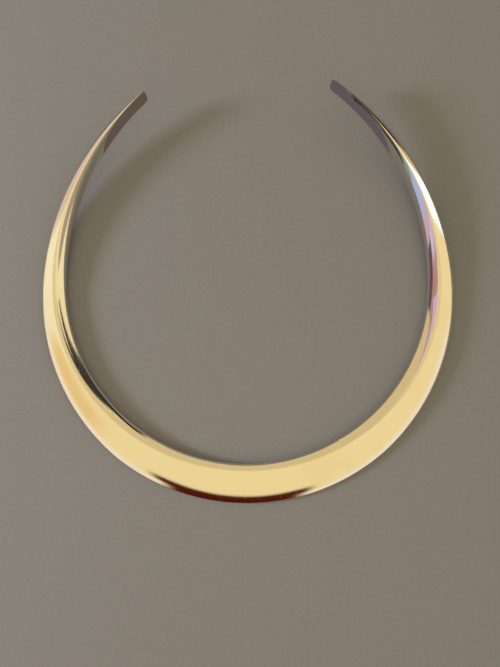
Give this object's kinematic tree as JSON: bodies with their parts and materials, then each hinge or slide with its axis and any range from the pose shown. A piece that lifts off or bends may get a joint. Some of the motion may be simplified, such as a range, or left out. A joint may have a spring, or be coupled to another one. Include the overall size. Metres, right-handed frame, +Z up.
{
  "type": "torc",
  "caption": "Open neck ring forged from one bar of silver, broad and domed in front, tapering to narrow blunt tips that stand on edge.",
  "frame": {"origin": "middle of the ring's length and width, on the surface that it lies on", "axes": "+X to the right arm seen from above, +Y from the broad front to the opening between the tips, +Z up"},
  "size_m": [0.143, 0.1416, 0.0143],
  "materials": {
    "silver": "mirror-polished sterling silver with fine wear scratches and a faint warm tarnish"
  },
  "bodies": {
    "root": {"torc_band": "silver"}
  },
  "joints": []
}
